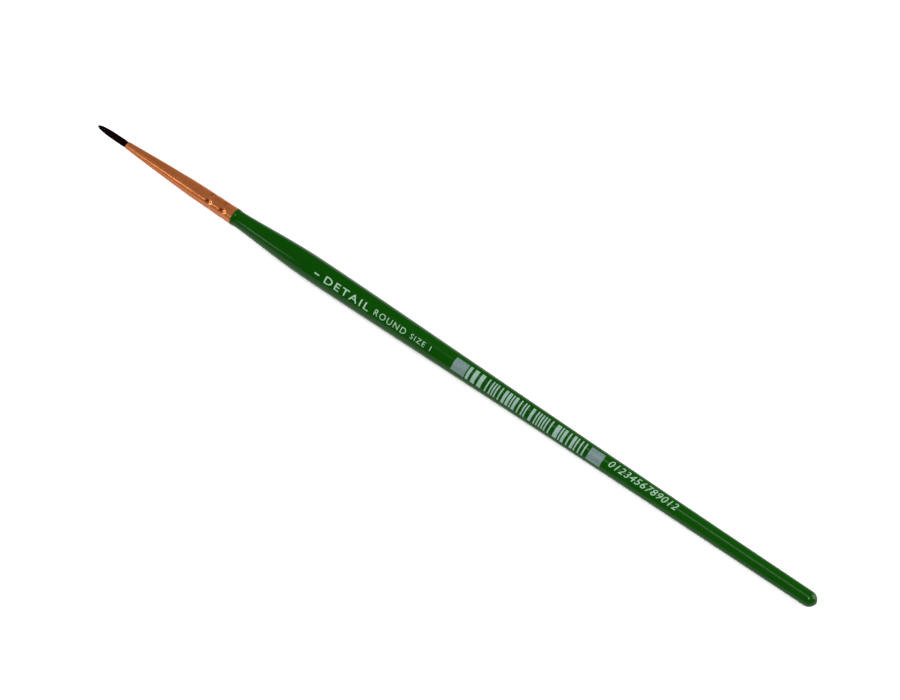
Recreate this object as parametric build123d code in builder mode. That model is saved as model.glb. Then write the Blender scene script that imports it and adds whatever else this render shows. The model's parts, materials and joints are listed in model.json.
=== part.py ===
from build123d import *
import os

# A fine detail brush, lying on its side. The brush's axis runs along X: the hair's point is at -X and
# the handle's butt end at +X. The widest ring of the handle touches Z = 0. A station is a distance along
# the axis from the hair's point. Sizes are in millimetres.

# Overall
overall_length = 190.0
hair_out_length = 8.8  # free length of the hair, in front of the ferrule
ferrule_length = 30.7

# Handle, over its paint
belly_radius = 2.81
neck_radius = 1.86
lip_radius = 1.98
butt_radius = 1.70
belly_distance = 21.8  # from the ferrule's rear edge to the widest ring
neck_distance = 1.1
lip_length = 0.5
neck_reach = 3.5  # how far each curve keeps its end's direction
belly_front_reach = 7.7
belly_back_reach = 22.0
butt_reach = 80.0
butt_slope = 0.004
dome_length = 2.0
dome_fullness = 0.55  # near 1 is square, near 0 is a cone
dome_peak = 0.15  # rise of the slight point in the dome's middle
lacquer_thickness = 0.10
undercoat_thickness = 0.06

# Ferrule, outside
mouth_radius = 0.87
knee_radius = 1.82
rear_radius = 1.95
knee_distance = 11.5  # from the rear edge forward to where the steep taper ends
taper_swell = 0.06  # how far the middle of the steep taper stands out from a true cone
ferrule_wall = 0.15
mouth_roll = 0.05  # radius of the rolled edge at the mouth
crimp_depth = 0.10
crimp_width = 2.0
crimp_distances = (6.4, 2.5)  # from the rear edge forward

# Inside the ferrule
tenon_length = 14.2
tenon_chamfer = 0.3
glue_film = 0.05
glue_length = 13.2
root_radius = 0.70
root_length = 9.5
binding_thread = 0.16
binding_turns = 5
binding_distance = 5.2  # from the mouth to the first turn
cement_distance = 3.6  # from the mouth to the front of the cement
cement_length = 8.4

# Free hair
tuft_radius = 0.81
point_radius = 0.10
point_reach = 3.1  # how far the side keeps straight before it closes in to the point
point_fullness = 0.55  # radius that the side aims at over the point: larger is blunter
knuckle_gap = 0.09  # room in front of and behind each rounded end
base_pivot_distance = 0.9  # from the mouth to the centre of the first bend
point_pivot_distance = 3.6  # from the mouth to the centre of the second bend

# Stations along the axis
mouth = hair_out_length
rear_edge = mouth + ferrule_length
knee = rear_edge - knee_distance
neck = rear_edge + neck_distance
belly = rear_edge + belly_distance
dome_start = overall_length - dome_length
tenon_front = rear_edge - tenon_length
glue_front = rear_edge - glue_length
root_back = mouth + root_length
binding_start = mouth + binding_distance
binding_end = binding_start + binding_turns * binding_thread
cement_front = mouth + cement_distance
cement_back = cement_front + cement_length
base_pivot = mouth - base_pivot_distance
point_pivot = mouth - point_pivot_distance

side_plane = Plane(origin=(-overall_length / 2, 0, belly_radius), x_dir=(1, 0, 0), z_dir=(0, -1, 0))
brush_axis = Axis((0, 0, belly_radius), (1, 0, 0))


def handle_side(inset):
    """Side line of the painted handle, from its front lip to the apex of the dome, moved in by inset."""
    with BuildLine() as side:
        lip = Bezier(
            (rear_edge, lip_radius - inset),
            (rear_edge + lip_length, lip_radius - inset),
            (rear_edge + lip_length, neck_radius - inset),
            (neck, neck_radius - inset),
        )
        swell = Bezier(
            lip @ 1,
            (neck + neck_reach, neck_radius - inset),
            (belly - belly_front_reach, belly_radius - inset),
            (belly, belly_radius - inset),
        )
        taper = Bezier(
            swell @ 1,
            (belly + belly_back_reach, belly_radius - inset),
            (dome_start - butt_reach, butt_radius + butt_reach * butt_slope - inset),
            (dome_start, butt_radius - inset),
        )
        Bezier(
            taper @ 1,
            (dome_start + dome_length * dome_fullness, butt_radius - inset),
            (overall_length - inset - dome_peak, butt_radius * dome_fullness),
            (overall_length - inset, 0),
        )
    return side.line


def ferrule_rear_radius(station):
    """Outside radius of the gently tapered rear of the ferrule, between its crimps."""
    return knee_radius + (rear_radius - knee_radius) * (station - knee) / knee_distance


def ferrule_rear_side(inset, front):
    """Side line of the ferrule's rear with its two crimps, from the station front to the rear edge."""
    with BuildLine() as side:
        last = (front, ferrule_rear_radius(front) - inset)
        for distance in crimp_distances:
            middle = rear_edge - distance
            start, end = middle - crimp_width / 2, middle + crimp_width / 2
            groove = ThreePointArc(
                (start, ferrule_rear_radius(start) - inset),
                (middle, ferrule_rear_radius(middle) - inset - crimp_depth),
                (end, ferrule_rear_radius(end) - inset),
            )
            Line(last, groove @ 0)
            last = groove @ 1
        Line(last, (rear_edge, rear_radius - inset))
    return side.line


def ferrule_front_radius(station):
    """Outside radius of the ferrule's long taper, which swells a little from a true cone."""
    share = (station - mouth) / (knee - mouth)
    swell = 4 * taper_swell * share * (1 - share)
    return mouth_radius + (knee_radius - mouth_radius) * share + swell


def ferrule_front_side(inset, front, back):
    """Side line of the ferrule's long taper between two stations, moved in by inset."""
    middle = (front + back) / 2
    with BuildLine() as side:
        ThreePointArc(
            (front, ferrule_front_radius(front) - inset),
            (middle, ferrule_front_radius(middle) - inset),
            (back, ferrule_front_radius(back) - inset),
        )
    return side.line


# Turned wooden stick: the visible handle under its paint, with a crimped tenon at the front
paint = lacquer_thickness + undercoat_thickness
wood_side = handle_side(paint)
tenon_side = ferrule_rear_side(ferrule_wall + glue_film, knee)
tenon_nose_side = ferrule_front_side(ferrule_wall + glue_film, tenon_front + tenon_chamfer, knee)
with BuildPart() as handle_core:
    with BuildSketch(side_plane):
        with BuildLine():
            add(wood_side)
            add(tenon_side)
            add(tenon_nose_side)
            nose = (tenon_front, (tenon_nose_side @ 0).Y - tenon_chamfer)
            Line(tenon_side @ 1, wood_side @ 0)
            Line(tenon_nose_side @ 0, nose)
            Line(nose, (tenon_front, 0))
            Line((tenon_front, 0), wood_side @ 1)
        make_face()
    revolve(axis=brush_axis)
handle_core.part.label = "handle_core"

# Undercoat: a thin closed skin over the wood, open only at the front
undercoat_outside = handle_side(lacquer_thickness)
with BuildPart() as handle_undercoat:
    with BuildSketch(side_plane):
        with BuildLine():
            add(undercoat_outside)
            add(wood_side)
            Line(undercoat_outside @ 0, wood_side @ 0)
            Line(undercoat_outside @ 1, wood_side @ 1)
        make_face()
    revolve(axis=brush_axis)
handle_undercoat.part.label = "handle_undercoat"

# Coloured gloss lacquer over the undercoat
lacquer_outside = handle_side(0)
with BuildPart() as handle_lacquer:
    with BuildSketch(side_plane):
        with BuildLine():
            add(lacquer_outside)
            add(undercoat_outside)
            Line(lacquer_outside @ 0, undercoat_outside @ 0)
            Line(lacquer_outside @ 1, undercoat_outside @ 1)
        make_face()
    revolve(axis=brush_axis)
handle_lacquer.part.label = "handle_lacquer"

# Seamless tapered ferrule with a rolled mouth and two crimps that bite into the tenon
outer_front = ferrule_front_side(0, mouth + mouth_roll, knee)
outer_rear = ferrule_rear_side(0, knee)
inner_front = ferrule_front_side(ferrule_wall, mouth + mouth_roll, knee)
inner_rear = ferrule_rear_side(ferrule_wall, knee)
with BuildPart() as ferrule:
    with BuildSketch(side_plane):
        with BuildLine():
            for line in (outer_front, outer_rear, inner_front, inner_rear):
                add(line)
            Line(outer_rear @ 1, inner_rear @ 1)
            lip_middle = ((outer_front @ 0) + (inner_front @ 0)) / 2
            ThreePointArc(outer_front @ 0, (mouth, lip_middle.Y), inner_front @ 0)
        make_face()
    revolve(axis=brush_axis)
ferrule.part.label = "ferrule"

# Film of glue between the tenon and the ferrule
film_front = ferrule_front_side(ferrule_wall, glue_front, knee)
film_inner_front = ferrule_front_side(ferrule_wall + glue_film, glue_front, knee)
with BuildPart() as handle_glue:
    with BuildSketch(side_plane):
        with BuildLine():
            for line in (film_front, inner_rear, film_inner_front, tenon_side):
                add(line)
            Line(film_front @ 0, film_inner_front @ 0)
            Line(inner_rear @ 1, tenon_side @ 1)
        make_face()
    revolve(axis=brush_axis)
handle_glue.part.label = "handle_glue"

# Root of the hair bundle, packed tight inside the ferrule
with BuildPart() as hair_root:
    with BuildSketch(side_plane):
        with BuildLine():
            Polyline(
                (mouth, 0),
                (mouth, root_radius),
                (root_back, root_radius),
                (root_back, 0),
                close=True,
            )
        make_face()
    revolve(axis=brush_axis)
hair_root.part.label = "hair_root"


def binding_side():
    """Beaded outline of the thread's turns on the root."""
    with BuildLine() as side:
        for turn in range(binding_turns):
            start = binding_start + turn * binding_thread
            ThreePointArc(
                (start, root_radius + binding_thread / 2),
                (start + binding_thread / 2, root_radius + binding_thread),
                (start + binding_thread, root_radius + binding_thread / 2),
            )
    return side.line


# Thread wound tightly round the root
thread_side = binding_side()
with BuildPart() as root_binding:
    with BuildSketch(side_plane):
        with BuildLine():
            add(thread_side)
            Line(thread_side @ 0, (binding_start, root_radius))
            Line((binding_start, root_radius), (binding_end, root_radius))
            Line((binding_end, root_radius), thread_side @ 1)
        make_face()
    revolve(axis=brush_axis)
root_binding.part.label = "root_binding"

# Set cement that fills the ferrule round the binding and behind the root
cement_side = ferrule_front_side(ferrule_wall, cement_front, cement_back)
with BuildPart() as root_cement:
    with BuildSketch(side_plane):
        with BuildLine():
            add(cement_side)
            add(thread_side)
            Line(cement_side @ 0, (cement_front, root_radius))
            Line((cement_front, root_radius), (binding_start, root_radius))
            Line((binding_start, root_radius), thread_side @ 0)
            Line(thread_side @ 1, (binding_end, root_radius))
            Line((binding_end, root_radius), (root_back, root_radius))
            Line((root_back, root_radius), (root_back, 0))
            Line((root_back, 0), (cement_back, 0))
            Line((cement_back, 0), cement_side @ 1)
        make_face()
    revolve(axis=brush_axis)
root_cement.part.label = "root_cement"

# Free hair next to the ferrule, with a rounded back end centred on the first bend
base_front = point_pivot + tuft_radius + knuckle_gap
base_knuckle = base_pivot_distance - knuckle_gap
with BuildPart() as hair_base:
    with BuildSketch(side_plane):
        with BuildLine():
            Polyline((base_pivot + base_knuckle, 0), (base_front, 0), (base_front, tuft_radius))
            Line((base_front, tuft_radius), (base_pivot, base_knuckle))
            RadiusArc((base_pivot, base_knuckle), (base_pivot + base_knuckle, 0), base_knuckle)
        make_face()
    revolve(axis=brush_axis)
hair_base.part.label = "hair_base"

# Free hair that draws in to the point, with a rounded back end centred on the second bend
point_tip = (point_radius / 2, point_radius)
with BuildPart() as hair_point:
    with BuildSketch(side_plane):
        with BuildLine():
            Line((0, 0), (point_pivot + tuft_radius, 0))
            RadiusArc((point_pivot, tuft_radius), (point_pivot + tuft_radius, 0), tuft_radius)
            Bezier(
                (point_pivot, tuft_radius),
                (point_pivot - point_reach, tuft_radius),
                (point_radius, point_fullness),
                point_tip,
            )
            Line(point_tip, (0, 0))
        make_face()
    revolve(axis=brush_axis)
hair_point.part.label = "hair_point"

os.makedirs("parts", exist_ok=True)
for piece in (
    handle_core,
    handle_undercoat,
    handle_lacquer,
    ferrule,
    handle_glue,
    hair_root,
    root_binding,
    root_cement,
    hair_base,
    hair_point,
):
    export_step(piece.part, f"parts/{piece.part.label}.step")
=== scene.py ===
import json
import math
import random

import bmesh
import bpy
from mathutils import Matrix, Vector


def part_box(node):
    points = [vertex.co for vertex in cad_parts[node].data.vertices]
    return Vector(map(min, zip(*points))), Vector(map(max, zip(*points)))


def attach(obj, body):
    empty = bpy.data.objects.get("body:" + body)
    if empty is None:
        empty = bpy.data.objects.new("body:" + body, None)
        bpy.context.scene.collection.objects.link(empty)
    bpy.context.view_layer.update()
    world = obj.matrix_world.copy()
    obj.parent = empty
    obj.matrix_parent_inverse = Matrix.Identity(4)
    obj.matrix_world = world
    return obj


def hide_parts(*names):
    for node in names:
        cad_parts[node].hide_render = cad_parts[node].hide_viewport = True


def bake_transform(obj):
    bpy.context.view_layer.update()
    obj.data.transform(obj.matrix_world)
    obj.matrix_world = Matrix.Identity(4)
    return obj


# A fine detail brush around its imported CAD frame. The axis runs along X, from the hair's point to the butt.
# A station is a distance along the axis from the hair's point. Stations, radii and sizes of the brush are in
# millimetres, and become metres when a mesh is made.

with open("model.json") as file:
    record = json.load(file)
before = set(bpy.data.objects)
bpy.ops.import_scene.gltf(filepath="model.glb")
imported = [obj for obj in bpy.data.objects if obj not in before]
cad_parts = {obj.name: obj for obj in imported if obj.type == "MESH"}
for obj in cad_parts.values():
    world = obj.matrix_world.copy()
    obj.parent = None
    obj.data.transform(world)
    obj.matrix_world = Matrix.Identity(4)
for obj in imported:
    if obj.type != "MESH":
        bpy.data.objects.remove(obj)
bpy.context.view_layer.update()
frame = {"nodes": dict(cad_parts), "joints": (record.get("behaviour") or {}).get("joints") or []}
joints = {joint["name"]: joint for joint in frame["joints"]}

MM = 0.001
ROUND_STEPS = 128  # faces round the handle and the ferrule
ON_AXIS = 1e-6  # a radius this small is a point on the axis
PRINT_SIDE = math.radians(22.5)  # the side that the print faces, from straight up towards the front
HANDLE_BODY, BASE_BODY, POINT_BODY = "handle", "tuft_base", "tuft_point"


# ---------------------------------------------------------------- the frame's stations

TIP_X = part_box("hair_point")[0].x
AXIS_Z = joints["tuft_bend_sideways"]["pos_m"][2]
BELLY_RADIUS = AXIS_Z / MM  # the widest ring of the handle touches Z = 0


def station_of(x):
    """The station of a place along X."""
    return (x - TIP_X) / MM


MOUTH = station_of(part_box("ferrule")[0].x)
REAR_EDGE = station_of(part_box("ferrule")[1].x)
LENGTH = station_of(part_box("handle_lacquer")[1].x)
BASE_PIVOT = station_of(joints["tuft_bend_sideways"]["pos_m"][0])
POINT_PIVOT = station_of(joints["point_bend_up"]["pos_m"][0])
ROOT_BACK = station_of(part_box("hair_root")[1].x)

# The handle's outline, as in the CAD
NECK_RADIUS, LIP_RADIUS, BUTT_RADIUS = 1.86, 1.98, 1.70
NECK = REAR_EDGE + 1.1
BELLY = REAR_EDGE + 21.8
LIP_LENGTH = 0.5
NECK_REACH, BELLY_FRONT_REACH, BELLY_BACK_REACH, BUTT_REACH = 3.5, 7.7, 22.0, 80.0
BUTT_SLOPE = 0.004
DOME_LENGTH, DOME_FULLNESS, DOME_PEAK = 2.0, 0.55, 0.15
DOME_START = LENGTH - DOME_LENGTH
LACQUER_THICKNESS = 0.10

# The ferrule's outline, as in the CAD
MOUTH_RADIUS, KNEE_RADIUS, REAR_RADIUS = 0.87, 1.82, 1.95
KNEE_DISTANCE = 11.5
KNEE = REAR_EDGE - KNEE_DISTANCE
TAPER_SWELL = 0.06
FERRULE_WALL = 0.15
REAR_ROUNDING, REAR_BURR = 0.04, 0.02  # how the cut rear edge is eased, outside and inside
CRIMPS = (REAR_EDGE - 6.4, REAR_EDGE - 2.5)
CRIMP_WIDTH = 2.0
CRIMP_RING, CRIMP_BITE = 0.03, 0.20  # depth all the way round, and more where each jaw bites
CRIMP_JAWS = 6
JAW_HALF_WIDTH = math.radians(24)
JAW_LEAN = math.radians(14)  # from the printed side to the middle of a bite
PAINTED_SHADE_LEAD, PAINTED_SHADE_REACH = 0.45, 0.55  # where painted shade lies in a bite, from its middle towards the hair


# ---------------------------------------------------------------- places and curves


def place(station, radius, angle):
    """A point of the brush in metres. Angle 0 is up, and it grows towards the front, -Y."""
    return Vector((
        TIP_X + station * MM,
        -radius * MM * math.sin(angle),
        AXIS_Z + radius * MM * math.cos(angle),
    ))


def bezier(start, start_pull, end_pull, end, steps):
    """Points of a cubic Bezier curve, without its start."""
    points = []
    for i in range(1, steps + 1):
        t = i / steps
        weights = ((1 - t) ** 3, 3 * (1 - t) ** 2 * t, 3 * (1 - t) * t * t, t ** 3)
        pulls = (start, start_pull, end_pull, end)
        points.append(tuple(sum(w * p[k] for w, p in zip(weights, pulls)) for k in (0, 1)))
    return points


def handle_outline(inset):
    """(station, radius) points of the handle's side, from its front lip to the apex of the dome."""
    lip, neck = LIP_RADIUS - inset, NECK_RADIUS - inset
    belly, butt = BELLY_RADIUS - inset, BUTT_RADIUS - inset
    apex = LENGTH - inset
    points = [(REAR_EDGE, lip)]
    points += bezier(
        points[-1], (REAR_EDGE + LIP_LENGTH, lip), (REAR_EDGE + LIP_LENGTH, neck), (NECK, neck), 12
    )
    points += bezier(
        points[-1], (NECK + NECK_REACH, neck), (BELLY - BELLY_FRONT_REACH, belly), (BELLY, belly), 36
    )
    points += bezier(
        points[-1],
        (BELLY + BELLY_BACK_REACH, belly),
        (DOME_START - BUTT_REACH, butt + BUTT_REACH * BUTT_SLOPE),
        (DOME_START, butt),
        72,
    )
    points += bezier(
        points[-1],
        (DOME_START + DOME_LENGTH * DOME_FULLNESS, butt),
        (apex - DOME_PEAK, BUTT_RADIUS * DOME_FULLNESS),
        (apex, 0.0),
        24,
    )
    return points


def interpolate(points, station):
    """The radius of an outline at a station."""
    for (s0, r0), (s1, r1) in zip(points, points[1:]):
        if s0 <= station <= s1:
            return r0 + (r1 - r0) * (station - s0) / (s1 - s0)
    return points[0][1] if station < points[0][0] else points[-1][1]


def ferrule_radius(station):
    """Outside radius of the ferrule, without its crimps."""
    if station >= KNEE:
        return KNEE_RADIUS + (REAR_RADIUS - KNEE_RADIUS) * (station - KNEE) / KNEE_DISTANCE
    share = (station - MOUTH) / (KNEE - MOUTH)
    return MOUTH_RADIUS + (KNEE_RADIUS - MOUTH_RADIUS) * share + 4 * TAPER_SWELL * share * (1 - share)


# ---------------------------------------------------------------- meshes


def finish_mesh(name, mesh_builder, smooth_degrees=40):
    """Makes an object of a bmesh, with normals that point out and smooth shading between sharp edges."""
    bmesh.ops.recalc_face_normals(mesh_builder, faces=mesh_builder.faces)
    mesh = bpy.data.meshes.new(name)
    mesh_builder.to_mesh(mesh)
    mesh_builder.free()
    mesh.shade_smooth()
    mesh.set_sharp_from_angle(angle=math.radians(smooth_degrees))
    piece = bpy.data.objects.new(name, mesh)
    bpy.context.scene.collection.objects.link(piece)
    return piece


def lathe(name, outline, closed=False, shift=None):
    """Turns an outline of (station, radius) points about the axis. Points on the axis close it.
    shift(station, angle) is added to the radius."""
    builder = bmesh.new()
    rings = []
    for station, radius in outline:
        if radius <= ON_AXIS:
            rings.append([builder.verts.new(place(station, 0, 0))])
            continue
        ring = []
        for i in range(ROUND_STEPS):
            angle = 2 * math.pi * i / ROUND_STEPS
            extra = shift(station, angle) if shift else 0.0
            ring.append(builder.verts.new(place(station, radius + extra, angle)))
        rings.append(ring)
    pairs = list(zip(rings, rings[1:])) + ([(rings[-1], rings[0])] if closed else [])
    for a, b in pairs:
        if len(a) == 1 and len(b) == 1:
            continue
        for i in range(ROUND_STEPS):
            j = (i + 1) % ROUND_STEPS
            if len(a) == 1:
                builder.faces.new((a[0], b[j], b[i]))
            elif len(b) == 1:
                builder.faces.new((a[i], a[j], b[0]))
            else:
                builder.faces.new((a[i], a[j], b[j], b[i]))
    return finish_mesh(name, builder)


# ---------------------------------------------------------------- material helpers


class Paint:
    """A node-based material, built one call at a time."""

    def __init__(self, name):
        self.material = bpy.data.materials.new(name)
        self.material.use_nodes = True
        self.nodes = self.material.node_tree.nodes
        self.links = self.material.node_tree.links
        self.shader = self.nodes["Principled BSDF"]
        self.place = self.nodes.new("ShaderNodeNewGeometry").outputs["Position"]

    def set(self, **values):
        """Constant values on the shader's own sockets."""
        for socket, value in values.items():
            self.shader.inputs[socket.replace("_", " ")].default_value = value

    def stretched(self, scale):
        """The place on the object, scaled along each axis, so that a pattern can be drawn out."""
        node = self.nodes.new("ShaderNodeMapping")
        node.inputs["Scale"].default_value = scale
        self.links.new(self.place, node.inputs["Vector"])
        return node.outputs["Vector"]

    def noise(self, scale, stretch=(1, 1, 1), detail=3.0, rough=0.5):
        """Soft noise from 0 to 1. Scale is in cycles per metre."""
        node = self.nodes.new("ShaderNodeTexNoise")
        node.inputs["Scale"].default_value = scale
        node.inputs["Detail"].default_value = detail
        node.inputs["Roughness"].default_value = rough
        self.links.new(self.stretched(stretch), node.inputs["Vector"])
        return node.outputs["Fac"]

    def ramp(self, value, low, high, at_low=0.0, at_high=1.0):
        """Carries low..high of a value smoothly to at_low..at_high."""
        node = self.nodes.new("ShaderNodeMapRange")
        node.interpolation_type = "SMOOTHSTEP"
        node.inputs["From Min"].default_value = low
        node.inputs["From Max"].default_value = high
        node.inputs["To Min"].default_value = at_low
        node.inputs["To Max"].default_value = at_high
        self.links.new(value, node.inputs["Value"])
        return node.outputs["Result"]

    def math(self, operation, *values):
        """A Math node. Each value is a number or a socket."""
        node = self.nodes.new("ShaderNodeMath")
        node.operation = operation
        for socket, value in zip(node.inputs, values):
            if isinstance(value, (int, float)):
                socket.default_value = value
            else:
                self.links.new(value, socket)
        return node.outputs["Value"]

    def mix(self, share, first, second):
        """Mixes two colours by a share from nodes."""
        node = self.nodes.new("ShaderNodeMix")
        node.data_type = "RGBA"
        self.links.new(share, node.inputs["Factor"])
        for socket, colour in ((node.inputs[6], first), (node.inputs[7], second)):
            if isinstance(colour, tuple):
                socket.default_value = (*colour, 1.0)
            else:
                self.links.new(colour, socket)
        return node.outputs[2]

    def axes(self):
        """X, Y and Z of the place on the object, in metres."""
        node = self.nodes.new("ShaderNodeSeparateXYZ")
        self.links.new(self.place, node.inputs["Vector"])
        return node.outputs[0], node.outputs[1], node.outputs[2]

    def colour(self, socket):
        self.links.new(socket, self.shader.inputs["Base Color"])

    def roughness(self, socket):
        self.links.new(socket, self.shader.inputs["Roughness"])

    def bump(self, height, distance):
        """Raises the surface by a height from 0 to 1, times a distance in metres."""
        node = self.nodes.new("ShaderNodeBump")
        node.inputs["Strength"].default_value = 1.0
        node.inputs["Distance"].default_value = distance
        self.links.new(height, node.inputs["Height"])
        self.links.new(node.outputs["Normal"], self.shader.inputs["Normal"])


def dress(piece, paint):
    """Gives a piece one material."""
    piece.data.materials.clear()
    piece.data.materials.append(paint.material)


# ---------------------------------------------------------------- materials


def lacquer_paint():
    """Deep green gloss lacquer: soft waves from dipping, a little dust under the surface.
    Its IOR is tuned to this scene's lights and is well below the 1.5 of real lacquer."""
    paint = Paint("green_lacquer")
    clouds = paint.noise(90, stretch=(0.3, 1, 1), detail=2)
    paint.colour(paint.mix(paint.ramp(clouds, 0.3, 0.7), (0.0018, 0.040, 0.0004), (0.0026, 0.048, 0.0008)))
    haze = paint.noise(700, detail=4)
    paint.roughness(paint.ramp(haze, 0.35, 0.75, 0.10, 0.20))
    waves = paint.noise(900, stretch=(0.5, 1, 1), detail=1)
    dust = paint.ramp(paint.noise(5200, detail=0), 0.74, 0.82)
    paint.bump(paint.math("ADD", waves, paint.math("MULTIPLY", dust, 0.35)), 6e-6)
    paint.set(IOR=1.22)
    return paint


def crimp_painted_shade(paint):
    """The share of painted shade in the crimps: most in the bites on the printed side, towards the hair, and
    0 elsewhere.
    """
    x, y, z = paint.axes()
    towards_front = paint.math("MULTIPLY", y, -1.0)
    angle = paint.math("ARCTAN2", towards_front, paint.math("SUBTRACT", z, AXIS_Z))
    from_bite = paint.math("SUBTRACT", angle, PRINT_SIDE + JAW_LEAN)
    turned = paint.math("MULTIPLY", from_bite, CRIMP_JAWS)
    at_jaw = paint.ramp(paint.math("COSINE", turned), 0.1, 0.8)
    rings = 0.0
    for crimp in CRIMPS:
        middle = TIP_X + (crimp - PAINTED_SHADE_LEAD) * MM
        distance = paint.math("ABSOLUTE", paint.math("SUBTRACT", x, middle))
        ring = paint.ramp(distance, 0.15 * PAINTED_SHADE_REACH * MM, PAINTED_SHADE_REACH * MM, 1.0, 0.0)
        rings = paint.math("ADD", ring, rings)
    most = paint.ramp(paint.math("COSINE", from_bite), 0.3, 0.9, 0.25, 0.9)
    return paint.math("MULTIPLY", paint.math("MULTIPLY", rings, at_jaw), most)


def copper_paint():
    """Copper-plated tube: lines drawn along it, soft tarnish, and painted shade in the crimps.
    Metallic, both IORs and the tint are tuned to this scene's lights, so that the pale
    floor does not wash out the rims; bare copper would have a Metallic of 1."""
    paint = Paint("copper_plate")
    tarnish = paint.noise(420, stretch=(0.5, 1, 1), detail=5, rough=0.6)
    bright = paint.mix(paint.ramp(tarnish, 0.35, 0.7), (0.41, 0.128, 0.040), (0.36, 0.106, 0.029))
    # The dark colour is painted shade on the hair-side wall of each crimp bite.
    paint.colour(paint.mix(crimp_painted_shade(paint), bright, (0.10, 0.018, 0.005)))
    lines = paint.noise(9000, stretch=(0.02, 1, 1), detail=3)
    paint.roughness(paint.ramp(lines, 0.3, 0.7, 0.16, 0.27))
    paint.bump(lines, 4e-6)
    paint.set(Metallic=0.55, IOR=1.2, Specular_Tint=(0.5, 0.25, 0.12, 1.0))
    paint.set(Coat_Weight=0.7, Coat_Roughness=0.12, Coat_IOR=1.2)
    return paint


def hair_paint():
    """Dark red-brown hair with a soft sheen, lighter and darker from hair to hair.
    Its low IOR is tuned to this scene's lights."""
    paint = Paint("dark_hair")
    each = paint.nodes.new("ShaderNodeNewGeometry").outputs["Random Per Island"]
    paint.colour(paint.mix(each, (0.0015, 0.0003, 0.0003), (0.0060, 0.0013, 0.0010)))
    paint.roughness(paint.ramp(paint.noise(4000, stretch=(0.1, 1, 1)), 0.3, 0.7, 0.38, 0.55))
    paint.bump(paint.noise(30000, stretch=(0.2, 1, 1), detail=1), 1e-6)
    paint.set(IOR=1.07)
    return paint


def ink_paint(name, pale, thin, share):
    """Screen-printed ink. The lacquer shows through where it lies thin."""
    paint = Paint(name)
    cover = paint.noise(6500, detail=3)
    paint.colour(paint.mix(paint.ramp(cover, share, share + 0.25), pale, thin))
    paint.roughness(paint.ramp(paint.noise(9000), 0.3, 0.7, 0.35, 0.5))
    paint.bump(cover, 2e-6)
    return paint


def wood_paint():
    """Pale turned birch, with grain along the stick."""
    paint = Paint("turned_wood")
    grain = paint.noise(2200, stretch=(0.03, 1, 1), detail=6, rough=0.65)
    paint.colour(paint.mix(paint.ramp(grain, 0.3, 0.7), (0.62, 0.43, 0.25), (0.42, 0.26, 0.13)))
    paint.roughness(paint.ramp(grain, 0.3, 0.7, 0.55, 0.8))
    paint.bump(grain, 2e-5)
    return paint


def filler_paint(name, light, dark, scale, low_rough, high_rough, lump):
    """A mottled coat, glue or cement."""
    paint = Paint(name)
    mottle = paint.noise(scale, detail=4)
    paint.colour(paint.mix(paint.ramp(mottle, 0.3, 0.7), light, dark))
    paint.roughness(paint.ramp(mottle, 0.3, 0.7, low_rough, high_rough))
    paint.bump(mottle, lump)
    return paint


# ---------------------------------------------------------------- ferrule and handle


def crimp_shift(station, angle):
    """How far the crimping jaws press the ferrule in: a shallow ring with a deeper bite at each jaw."""
    depth = 0.0
    for middle in CRIMPS:
        along = abs(station - middle) / (CRIMP_WIDTH / 2)
        if along < 1:
            spacing = 2 * math.pi / CRIMP_JAWS
            turned = (angle - PRINT_SIDE - JAW_LEAN) % spacing
            round_it = min(turned, spacing - turned) / JAW_HALF_WIDTH
            bite = math.cos(round_it * math.pi / 2) ** 2 if round_it < 1 else 0.0
            depth += (CRIMP_RING + CRIMP_BITE * bite) * math.cos(along * math.pi / 2) ** 2
    return -depth


def steps_between(start, end, count):
    """Evenly spaced numbers from start to end, both included."""
    return [start + (end - start) * i / count for i in range(count + 1)]


def ferrule_outline():
    """The tube's closed outline: outside from mouth to rear, then inside back to the mouth."""
    half_wall = FERRULE_WALL / 2
    stations = steps_between(MOUTH + half_wall, CRIMPS[0] - CRIMP_WIDTH, 40)
    stations += steps_between(CRIMPS[0] - CRIMP_WIDTH, REAR_EDGE - REAR_ROUNDING, 110)[1:]
    outside = [(s, ferrule_radius(s)) for s in stations]
    inside = [(s, ferrule_radius(s) - FERRULE_WALL) for s in reversed(stations[::2])]
    roll_middle = ferrule_radius(MOUTH + half_wall) - half_wall
    turns = [math.pi * i / 8 for i in range(1, 8)]
    roll = [
        (MOUTH + half_wall - half_wall * math.sin(turn), roll_middle - half_wall * math.cos(turn))
        for turn in turns
    ]
    rear = [
        (REAR_EDGE, REAR_RADIUS - REAR_ROUNDING),
        (REAR_EDGE, REAR_RADIUS - FERRULE_WALL + REAR_BURR),
    ]
    return outside + rear + inside + roll


def make_ferrule():
    piece = lathe("ferrule_tube", ferrule_outline(), closed=True, shift=crimp_shift)
    dress(piece, copper_paint())
    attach(piece, HANDLE_BODY)
    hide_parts("ferrule")


def make_lacquer():
    outside = handle_outline(0.0)
    inside = handle_outline(LACQUER_THICKNESS)
    piece = lathe("lacquer_coat", outside + list(reversed(inside)), closed=True)
    dress(piece, lacquer_paint())
    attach(piece, HANDLE_BODY)
    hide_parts("handle_lacquer")


# ---------------------------------------------------------------- hair

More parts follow.
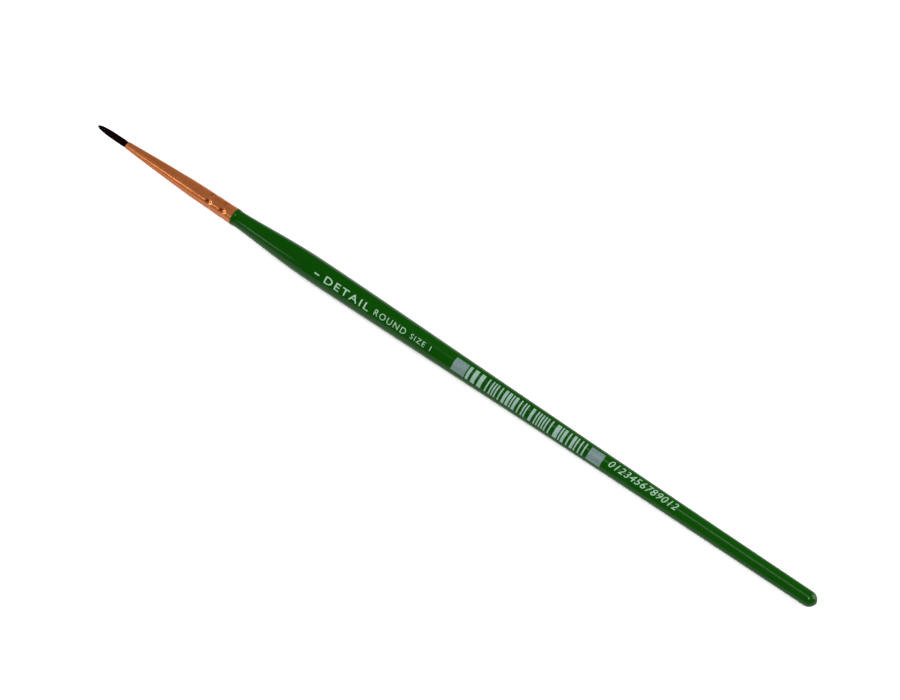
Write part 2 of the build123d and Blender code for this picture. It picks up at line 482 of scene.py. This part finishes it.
HAIR_COUNT = 430
HAIR_SIDES = 6
HAIR_RADIUS = 0.033
HAIR_SPLIT = (BASE_PIVOT + POINT_PIVOT) / 2 - 0.45  # where the two bending pieces of the tuft meet
END_SPREAD, EDGE_SHORTFALL = 0.5, 1.1  # how unevenly the hairs end, and how much shorter the outer ones are
SWAY, TWIST = 0.012, 0.05
TIP_LENGTH, TIP_THICKNESS, TIP_FULLNESS = 3.4, 0.10, 0.8
SWELL_STATION, SWELL_REACH, SWELL = 5.5, 2.5, 0.14
TUFT_SHAPE = (  # (station, radius) of the whole tuft
    (0.0, 0.13),
    (0.3, 0.29),
    (0.9, 0.47),
    (1.7, 0.61),
    (2.8, 0.72),
    (4.2, 0.785),
    (6.2, 0.81),
    (7.7, 0.785),
    (8.6, 0.72),
    (9.4, 0.69),
    (18.4, 0.69),
)


def smooth_radius(points, station):
    """A smooth curve through the points of TUFT_SHAPE."""
    for i in range(len(points) - 1):
        (s1, r1), (s2, r2) = points[i], points[i + 1]
        if s1 <= station <= s2:
            s0, r0 = points[max(i - 1, 0)]
            s3, r3 = points[min(i + 2, len(points) - 1)]
            t = (station - s1) / (s2 - s1)
            slope1 = (r2 - r0) / (s2 - s0) * (s2 - s1)
            slope2 = (r3 - r1) / (s3 - s1) * (s2 - s1)
            return (
                (2 * t**3 - 3 * t**2 + 1) * r1
                + (t**3 - 2 * t**2 + t) * slope1
                + (3 * t**2 - 2 * t**3) * r2
                + (t**3 - t**2) * slope2
            )
    return points[-1][1]


class Hair:
    """One hair: where it lies in the bundle, where it ends, and how it strays."""

    def __init__(self, index, draw):
        self.share = math.sqrt((index + 0.5) / HAIR_COUNT)
        self.turn = index * math.pi * (3 - math.sqrt(5))
        self.end = abs(draw.gauss(0, END_SPREAD)) + EDGE_SHORTFALL * self.share * draw.random() ** 2
        self.sway = draw.uniform(0.5, 1.5) * SWAY
        self.phase = draw.uniform(0, 2 * math.pi)
        self.pitch = draw.uniform(0.7, 1.4)
        self.thickness = draw.uniform(0.85, 1.15)
        self.twist = draw.gauss(0, TWIST)

    def radius(self, station):
        """The hair's own radius: a swell at the belly and a fine tip."""
        left = max(station - self.end, 0.0)
        taper = min(left / TIP_LENGTH, 1.0) ** TIP_FULLNESS
        belly = 1 - SWELL + SWELL * math.exp(-((station - SWELL_STATION) / SWELL_REACH) ** 2)
        return HAIR_RADIUS * self.thickness * belly * (TIP_THICKNESS + (1 - TIP_THICKNESS) * taper)

    def centre(self, station):
        """The middle of the hair. It sways only where it is free of the ferrule."""
        bundle = smooth_radius(TUFT_SHAPE, station) - self.radius(station)
        free = min(max((MOUTH - station) / 2.0, 0.0), 1.0)
        swing = self.sway * free * math.sin(self.pitch * station + self.phase)
        angle = self.turn + self.twist * (MOUTH - station) / MOUTH
        return place(station, self.share * bundle + swing, angle)


def add_tube(builder, hair, stations):
    """Adds one stretch of a hair as a closed tube."""
    rings = []
    for i, station in enumerate(stations):
        before = hair.centre(stations[max(i - 1, 0)])
        after = hair.centre(stations[min(i + 1, len(stations) - 1)])
        along = (after - before).normalized()
        side = along.cross(Vector((0, 0, 1))).normalized()
        up = side.cross(along)
        middle, radius = hair.centre(station), hair.radius(station) * MM
        ring = []
        for k in range(HAIR_SIDES):
            angle = 2 * math.pi * k / HAIR_SIDES
            ring.append(builder.verts.new(middle + (side * math.cos(angle) + up * math.sin(angle)) * radius))
        rings.append(ring)
    for a, b in zip(rings, rings[1:]):
        for k in range(HAIR_SIDES):
            n = (k + 1) % HAIR_SIDES
            builder.faces.new((a[k], a[n], b[n], b[k]))
    builder.faces.new(list(reversed(rings[0])))
    builder.faces.new(rings[-1])


def make_hair():
    draw = random.Random(11)
    hairs = [Hair(i, draw) for i in range(HAIR_COUNT)]
    paint = hair_paint()

    def bundle(name, stretch):
        builder = bmesh.new()
        for hair in hairs:
            stations = stretch(hair)
            if stations:
                add_tube(builder, hair, stations)
        piece = finish_mesh(name, builder, smooth_degrees=70)
        dress(piece, paint)
        return piece

    root = bundle("hair_roots", lambda hair: steps_between(ROOT_BACK, MOUTH, 3))
    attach(root, HANDLE_BODY)
    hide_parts("hair_root")

    base = bundle("hair_belly", lambda hair: steps_between(MOUTH, HAIR_SPLIT, 8))
    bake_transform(base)
    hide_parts("hair_base")

    point = bundle("hair_points", lambda hair: steps_between(HAIR_SPLIT, hair.end, 14))
    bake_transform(point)
    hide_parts("hair_point")


# ---------------------------------------------------------------- print on the handle

INK_HEIGHT = 0.012  # of the ink above the lacquer
INK_DEPTH = 0.03  # the whole thickness of a printed piece, which reaches into the lacquer
CUT_STEP = 0.12
OUTLINE = handle_outline(0.0)
NUMERAL_STATION, NUMERAL_WIDTH, NUMERAL_HEIGHT, NUMERAL_LEAN = REAR_EDGE + 24.1, 0.30, 1.3, 10.5
BARS_STATION, BARS_WIDTH, BARS_HEIGHT, BARS_LEAN = REAR_EDGE + 79.3, 38.1, 3.05, 2.5
MODULE, MODULES = 0.33, 95  # the width and number of bar modules; 0.33 is an assumed print size


def text_outline(text, bold, spacing, slant=0.0):
    """A flat mesh of text, in the size of the font."""
    curve = bpy.data.curves.new("text", "FONT")
    curve.body = text
    curve.offset = bold
    curve.space_character = spacing
    curve.shear = slant
    curve.resolution_u = 4
    holder = bpy.data.objects.new("text", curve)
    bpy.context.scene.collection.objects.link(holder)
    graph = bpy.context.evaluated_depsgraph_get()
    mesh = bpy.data.meshes.new_from_object(holder.evaluated_get(graph))
    bpy.data.objects.remove(holder)
    builder = bmesh.new()
    builder.from_mesh(mesh)
    bmesh.ops.remove_doubles(builder, verts=builder.verts, dist=1e-5)
    bpy.data.meshes.remove(mesh)
    return builder


def fit_flat(builder, width, height):
    """Scales a flat mesh to a box of that width and height, centred on its origin."""
    xs = [v.co.x for v in builder.verts]
    ys = [v.co.y for v in builder.verts]
    middle = Vector(((min(xs) + max(xs)) / 2, (min(ys) + max(ys)) / 2, 0))
    scale = (width / (max(xs) - min(xs)), height / (max(ys) - min(ys)))
    for v in builder.verts:
        v.co = Vector(((v.co.x - middle.x) * scale[0], (v.co.y - middle.y) * scale[1], 0))


def cut_flat(builder, axis, step):
    """Cuts a flat mesh into strips, so that it can follow a round surface."""
    reach = max(abs(v.co[axis]) for v in builder.verts)
    normal = Vector((axis == 0, axis == 1, 0))
    for i in range(-int(reach / step), int(reach / step) + 1):
        geometry = builder.verts[:] + builder.edges[:] + builder.faces[:]
        bmesh.ops.bisect_plane(builder, geom=geometry, plane_co=normal * (i * step), plane_no=normal)


def in_fixed_order(builder):
    """The same mesh with its points and faces in one order. The bmesh operators change it from run to run."""
    bmesh.ops.recalc_face_normals(builder, faces=builder.faces)
    points = sorted(builder.verts, key=lambda vert: tuple(vert.co))
    rank = {vert: i for i, vert in enumerate(points)}
    rings = []
    for face in builder.faces:
        ring = [rank[vert] for vert in face.verts]
        first = ring.index(min(ring))
        rings.append(ring[first:] + ring[:first])
    ordered = bmesh.new()
    verts = [ordered.verts.new(vert.co) for vert in points]
    for ring in sorted(rings):
        ordered.faces.new([verts[i] for i in ring])
    builder.free()
    return ordered


def wrap(name, builder, station, side, paint):
    """Thickens a flat mesh and lays it on the handle, reading from the hair towards the butt."""
    top = bmesh.ops.extrude_face_region(builder, geom=builder.faces[:])
    raised = {v for v in top["geom"] if isinstance(v, bmesh.types.BMVert)}
    for v in builder.verts:
        here = station + v.co.x
        radius = interpolate(OUTLINE, here)
        height = INK_HEIGHT if v in raised else INK_HEIGHT - INK_DEPTH
        angle = side - v.co.y / radius
        v.co = place(here, radius + height, angle)
    piece = finish_mesh(name, in_fixed_order(builder))
    dress(piece, paint)
    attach(piece, HANDLE_BODY)


def print_text(name, text, station, width, height, lean, paint, bold=0.0, spacing=1.25, slant=0.0):
    """Text on the handle. Lean is how many degrees its middle lies to the front of PRINT_SIDE."""
    builder = text_outline(text, bold, spacing, slant)
    fit_flat(builder, width, height)
    cut_flat(builder, 1, CUT_STEP)
    cut_flat(builder, 0, 8 * CUT_STEP)
    wrap(name, builder, station, PRINT_SIDE + math.radians(lean), paint)


def print_numeral(paint):
    """The size, which reads with the hair held up."""
    builder = text_outline("1", 0.0, 1.0)
    fit_flat(builder, NUMERAL_WIDTH, NUMERAL_HEIGHT)
    bmesh.ops.rotate(builder, verts=builder.verts, matrix=Matrix.Rotation(math.radians(90), 3, "Z"))
    cut_flat(builder, 1, CUT_STEP)
    wrap("print_size_numeral", builder, NUMERAL_STATION, PRINT_SIDE + math.radians(NUMERAL_LEAN), paint)


def print_strips(name, strips, paint):
    """Upright strips side by side. Each is a (left, right) pair."""
    builder = bmesh.new()
    for left, right in strips:
        low, high = -BARS_HEIGHT / 2, BARS_HEIGHT / 2
        corners = ((left, low), (right, low), (right, high), (left, high))
        builder.faces.new([builder.verts.new((x, y, 0)) for x, y in corners])
    cut_flat(builder, 1, CUT_STEP)
    wrap(name, builder, BARS_STATION, PRINT_SIDE + math.radians(BARS_LEAN), paint)


def print_bars(block_paint, bar_paint):
    """Bars of random width between two plain blocks. They encode nothing."""
    draw = random.Random(5)
    half = BARS_WIDTH / 2
    margin = (BARS_WIDTH - MODULE * MODULES) / 2
    left = -BARS_WIDTH / 2 + margin
    bars, here = [], 0
    while here < MODULES:
        gap = draw.choice((1, 1, 2, 2, 3)) if here else 1
        bar = draw.choice((1, 1, 1, 2, 2, 3))
        start = here + gap
        end = min(start + bar, MODULES)
        if start < MODULES - 1:
            bars.append((left + start * MODULE, left + end * MODULE))
        here = end
    print_strips("print_blocks", [(-half, left), (half - margin, half)], block_paint)
    print_strips("print_bars", bars, bar_paint)


def make_print():
    ink = ink_paint("print_ink", (0.225, 0.38, 0.255), (0.11, 0.22, 0.12), 0.50)
    panel_ink = ink_paint("panel_ink", (0.118, 0.180, 0.178), (0.052, 0.095, 0.075), 0.42)
    bar_ink = ink_paint("bar_ink", (0.185, 0.29, 0.24), (0.12, 0.195, 0.15), 0.50)
    print_numeral(ink)
    print_text("print_first_word", "DETAIL", REAR_EDGE + 32.2, 11.9, 1.65, 9.5, ink, bold=0.008)
    print_text("print_second_word", "ROUND", REAR_EDGE + 43.7, 8.3, 1.4, 8.5, ink)
    print_text("print_third_word", "SIZE 1", REAR_EDGE + 51.8, 5.3, 1.15, 8.5, ink)
    print_bars(panel_ink, bar_ink)
    print_text(
        "print_digits", "0123456789012", REAR_EDGE + 108.3, 16.9, 1.6, -17.0, ink, spacing=1.1, slant=0.3
    )


# ---------------------------------------------------------------- the inner CAD nodes


def dress_inner_nodes():
    looks = {
        "handle_core": wood_paint(),
        "handle_undercoat": filler_paint(
            "undercoat", (0.80, 0.79, 0.74), (0.68, 0.67, 0.61), 800, 0.5, 0.7, 6e-6
        ),
        "handle_glue": filler_paint(
            "clear_glue", (0.72, 0.62, 0.42), (0.58, 0.46, 0.26), 1500, 0.15, 0.3, 1e-5
        ),
        "root_cement": filler_paint(
            "amber_cement", (0.52, 0.30, 0.10), (0.32, 0.16, 0.05), 1200, 0.15, 0.35, 2e-5
        ),
        "root_binding": filler_paint(
            "binding_thread", (0.74, 0.70, 0.62), (0.52, 0.48, 0.40), 9000, 0.7, 0.9, 2e-5
        ),
    }
    for node, paint in looks.items():
        dress(frame["nodes"][node], paint)


# ---------------------------------------------------------------- studio

CAMERA_AZIMUTH = math.radians(36.8)
CAMERA_ELEVATION = math.radians(62.6)
CAMERA_DISTANCE = 0.5  # an assumption: the photo shows its perspective only weakly
CAMERA_LENS = 94.5
AIM_STATION = 96.9
AIM_RIGHT, AIM_UP = 0.97, 1.42  # millimetres from the axis to the middle of the picture


def rig(name, thing):
    """An object for a camera or a light."""
    holder = bpy.data.objects.new(name, thing)
    bpy.context.scene.collection.objects.link(holder)
    return holder


def make_camera():
    back = Vector((
        math.sin(CAMERA_AZIMUTH) * math.cos(CAMERA_ELEVATION),
        -math.cos(CAMERA_AZIMUTH) * math.cos(CAMERA_ELEVATION),
        math.sin(CAMERA_ELEVATION),
    ))
    turn = (-back).to_track_quat("-Z", "Y")
    aim = place(AIM_STATION, 0, 0) + turn @ Vector((AIM_RIGHT * MM, AIM_UP * MM, 0))
    camera = rig("camera", bpy.data.cameras.new("camera"))
    camera.data.lens = CAMERA_LENS
    camera.data.clip_start = 0.01
    camera.location = aim + back * CAMERA_DISTANCE
    camera.rotation_mode = "QUATERNION"
    camera.rotation_quaternion = turn
    bpy.context.scene.camera = camera


def floor_paint():
    """Plain pale paper."""
    paint = Paint("paper_floor")
    fibre = paint.noise(300, detail=4)
    paint.colour(paint.mix(paint.ramp(fibre, 0.3, 0.7), (0.90, 0.90, 0.90), (0.93, 0.93, 0.93)))
    paint.set(Roughness=0.9)
    return paint


def make_floor():
    """A plane on which the brush rests at its belly and at its butt."""
    size = 4.0  # metres from the middle to each edge
    slope = math.atan2(BELLY_RADIUS - BUTT_RADIUS, DOME_START - BELLY)
    builder = bmesh.new()
    corners = ((-size, -size), (size, -size), (size, size), (-size, size))
    turn = Matrix.Rotation(-slope, 3, "Y")
    rest = Vector((TIP_X + BELLY * MM, 0, 0))
    builder.faces.new([builder.verts.new(rest + turn @ Vector((x, y, 0))) for x, y in corners])
    floor = finish_mesh("floor", builder)
    dress(floor, floor_paint())


def area_light(name, spot, width, height, power):
    """A soft light that faces the middle of the scene."""
    lamp = bpy.data.lights.new(name, "AREA")
    lamp.shape = "RECTANGLE"
    lamp.size, lamp.size_y = width, height
    lamp.energy = power
    holder = rig(name, lamp)
    holder.location = spot
    holder.rotation_mode = "QUATERNION"
    holder.rotation_quaternion = (-Vector(spot)).to_track_quat("-Z", "Y")


def make_lights():
    """The floor is lit until it clips to white, which hides most of the shadow."""
    world = bpy.data.worlds.new("studio")
    world.use_nodes = True
    background = world.node_tree.nodes["Background"]
    background.inputs["Color"].default_value = (1, 1, 1, 1)
    background.inputs["Strength"].default_value = 0.11
    bpy.context.scene.world = world
    area_light("key", (0.4, -0.56, 1.45), 0.34, 0.34, 16)
    area_light("back", (0.95, 1.0, 0.55), 1.2, 1.2, 32)
    area_light("left", (-1.55, -0.43, 1.06), 0.34, 0.34, 18)
    area_light("bite_spark", (-0.95, -0.72, 0.43), 0.25, 0.25, 3.0)
    area_light("front_line", (-0.455, -0.60, 0.365), 0.10, 0.27, 0.5)
    area_light("rear_line", (-0.045, -0.05, 1.0), 0.44, 0.15, 1.4)
    bpy.context.scene.view_settings.view_transform = "Standard"


make_camera()
make_floor()
make_lights()
make_ferrule()
make_lacquer()
make_hair()
make_print()
dress_inner_nodes()
